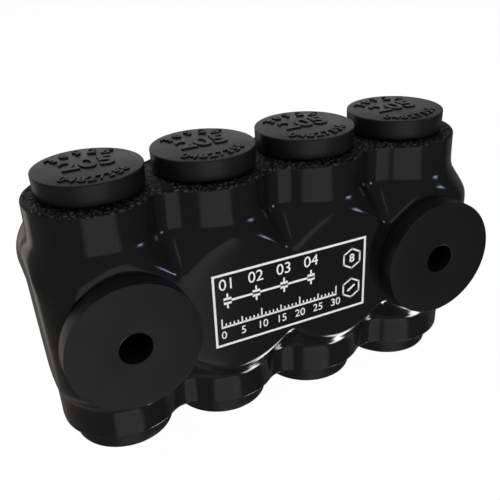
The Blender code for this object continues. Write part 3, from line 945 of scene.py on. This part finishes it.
# The room is turned so that 0 degrees lies on the camera's side. A wide front part of it is paler.
roomLook = {
    "turn": -115.06, "front": 0.145, "behind": 0.035, "frontColour": "#fffaf3",
    "frontAt": -40, "frontHalf": 120, "frontSoft": 45}


# White to the camera; to every other ray a dim room with soft lights in set directions. A light is
# as bright as its strength times how far the ray is within its width and within its height.
def makeWorld():
    look = roomLook
    world = bpy.data.worlds.new("studio")
    bpy.context.scene.world = world
    world.use_nodes = True
    way = addNode(world, "ShaderNodeTexCoord").outputs["Generated"]
    level = addNode(world, "ShaderNodeVectorRotate", {"rotation_type": "Z_AXIS"}, {
        "Vector": way, "Angle": float(np.radians(-look["turn"]))})
    split = addNode(world, "ShaderNodeSeparateXYZ", inputs={0: level.outputs["Vector"]})
    side = addNode(world, "ShaderNodeMath", {"operation": "ARCTAN2"}, {
        0: split.outputs["Y"], 1: split.outputs["X"]})
    rise = addNode(world, "ShaderNodeMath", {"operation": "ARCSINE"}, {0: split.outputs["Z"]})

    # 1 within half of the centre, both in degrees, and 0 outside, with a soft edge.
    def within(angle, centre, half, soft):
        away = addNode(world, "ShaderNodeMath", {"operation": "SUBTRACT"}, {
            0: angle.outputs["Value"], 1: float(np.radians(centre))})
        short = addNode(world, "ShaderNodeMath", {"operation": "WRAP"}, {
            0: away.outputs["Value"], 1: float(np.pi), 2: float(-np.pi)})
        far = addNode(world, "ShaderNodeMath", {"operation": "ABSOLUTE"}, {
            0: short.outputs["Value"]})
        edge = addNode(world, "ShaderNodeMapRange", {"interpolation_type": "SMOOTHSTEP"}, {
            "Value": far.outputs["Value"], "From Min": float(np.radians(half + soft)),
            "From Max": float(np.radians(max(half - soft, 0))), "To Min": 0.0, "To Max": 1.0})
        return edge.outputs["Result"]

    ahead = within(side, look["frontAt"], look["frontHalf"], look["frontSoft"])
    room = addNode(world, "ShaderNodeMapRange", inputs={
        "Value": ahead, "To Min": look["behind"], "To Max": look["front"]})
    total = addNode(world, "ShaderNodeVectorMath", {"operation": "SCALE"}, {
        0: paint(look["frontColour"])[:3], "Scale": room.outputs["Result"]})
    for azimuth, elevation, halfWide, halfHigh, soft, strength, colour in roomLights.values():
        wide = within(side, azimuth, halfWide, soft)
        high = within(rise, elevation, halfHigh, soft)
        both = addNode(world, "ShaderNodeMath", {"operation": "MULTIPLY"}, {0: wide, 1: high})
        bright = addNode(world, "ShaderNodeMath", {"operation": "MULTIPLY"}, {
            0: both.outputs["Value"], 1: strength})
        tinted = addNode(world, "ShaderNodeVectorMath", {"operation": "SCALE"}, {
            0: paint(colour)[:3], "Scale": bright.outputs["Value"]})
        total = addNode(world, "ShaderNodeVectorMath", {"operation": "ADD"}, {
            0: total.outputs["Vector"], 1: tinted.outputs["Vector"]})
    dim = addNode(world, world.node_tree.nodes["Background"], inputs={
        "Color": total.outputs["Vector"], "Strength": 1.0})
    white = addNode(world, "ShaderNodeBackground", inputs={
        "Color": (1, 1, 1, 1), "Strength": 1.0})
    path = addNode(world, "ShaderNodeLightPath")
    mix = addNode(world, "ShaderNodeMixShader", inputs={
        0: path.outputs["Is Camera Ray"], 1: dim.outputs["Background"],
        2: white.outputs["Background"]})
    addNode(world, world.node_tree.nodes["World Output"], inputs={
        "Surface": mix.outputs["Shader"]})


# Lamps in metres: place, width and height, and level, which is how bright a lamp makes a white face
# turned to it.
lamps = {
    "top softbox": ((-0.10, 0.05, 0.65), (0.5, 0.4), 0.90),
    "front softbox": ((0.10, -0.60, 0.30), (0.5, 0.3), 0.60),
}


# A soft lamp that aims at the object's middle, with power that grows as the distance squared.
def areaLight(name, place, size, level):
    way = Vector((0, 0, midZ / 1000)) - Vector(place)
    data = bpy.data.lights.new(name, "AREA")
    data.shape = "RECTANGLE"
    data.size, data.size_y = size
    data.energy = level * np.pi ** 2 * way.length_squared
    lamp = bpy.data.objects.new(name, data)
    lamp.location = place
    lamp.rotation_euler = way.to_track_quat("-Z", "Y").to_euler()
    lamp.visible_glossy = False
    bpy.context.scene.collection.objects.link(lamp)


makeFloor()
makeWorld()
for name, (place, size, level) in lamps.items():
    areaLight(name, place, size, level)
print("stage made")

# The camera stands at place in metres and looks along a line that turns from straight ahead to the
# right and drops; roll turns the picture about that line, and all three are degrees.
view = {
    "place": (-0.07103, -0.15736, 0.12206), "turn": 24.9365, "drop": 27.0018, "roll": -2.5302,
    "lens": 49.45, "sensor": 36.0, "nearest": 0.01}

scene = bpy.context.scene
scene.view_settings.view_transform = "Standard"
cameraData = bpy.data.cameras.new("camera")
cameraData.sensor_width = view["sensor"]
cameraData.lens = view["lens"]
cameraData.clip_start = view["nearest"]
camera = bpy.data.objects.new("camera", cameraData)
scene.collection.objects.link(camera)
scene.camera = camera
turned = Matrix.Rotation(np.radians(-view["turn"]), 4, "Z")
tipped = Matrix.Rotation(np.radians(90 - view["drop"]), 4, "X")
rolled = Matrix.Rotation(np.radians(view["roll"]), 4, "Z")
camera.matrix_world = Matrix.Translation(view["place"]) @ turned @ tipped @ rolled

print("camera set")
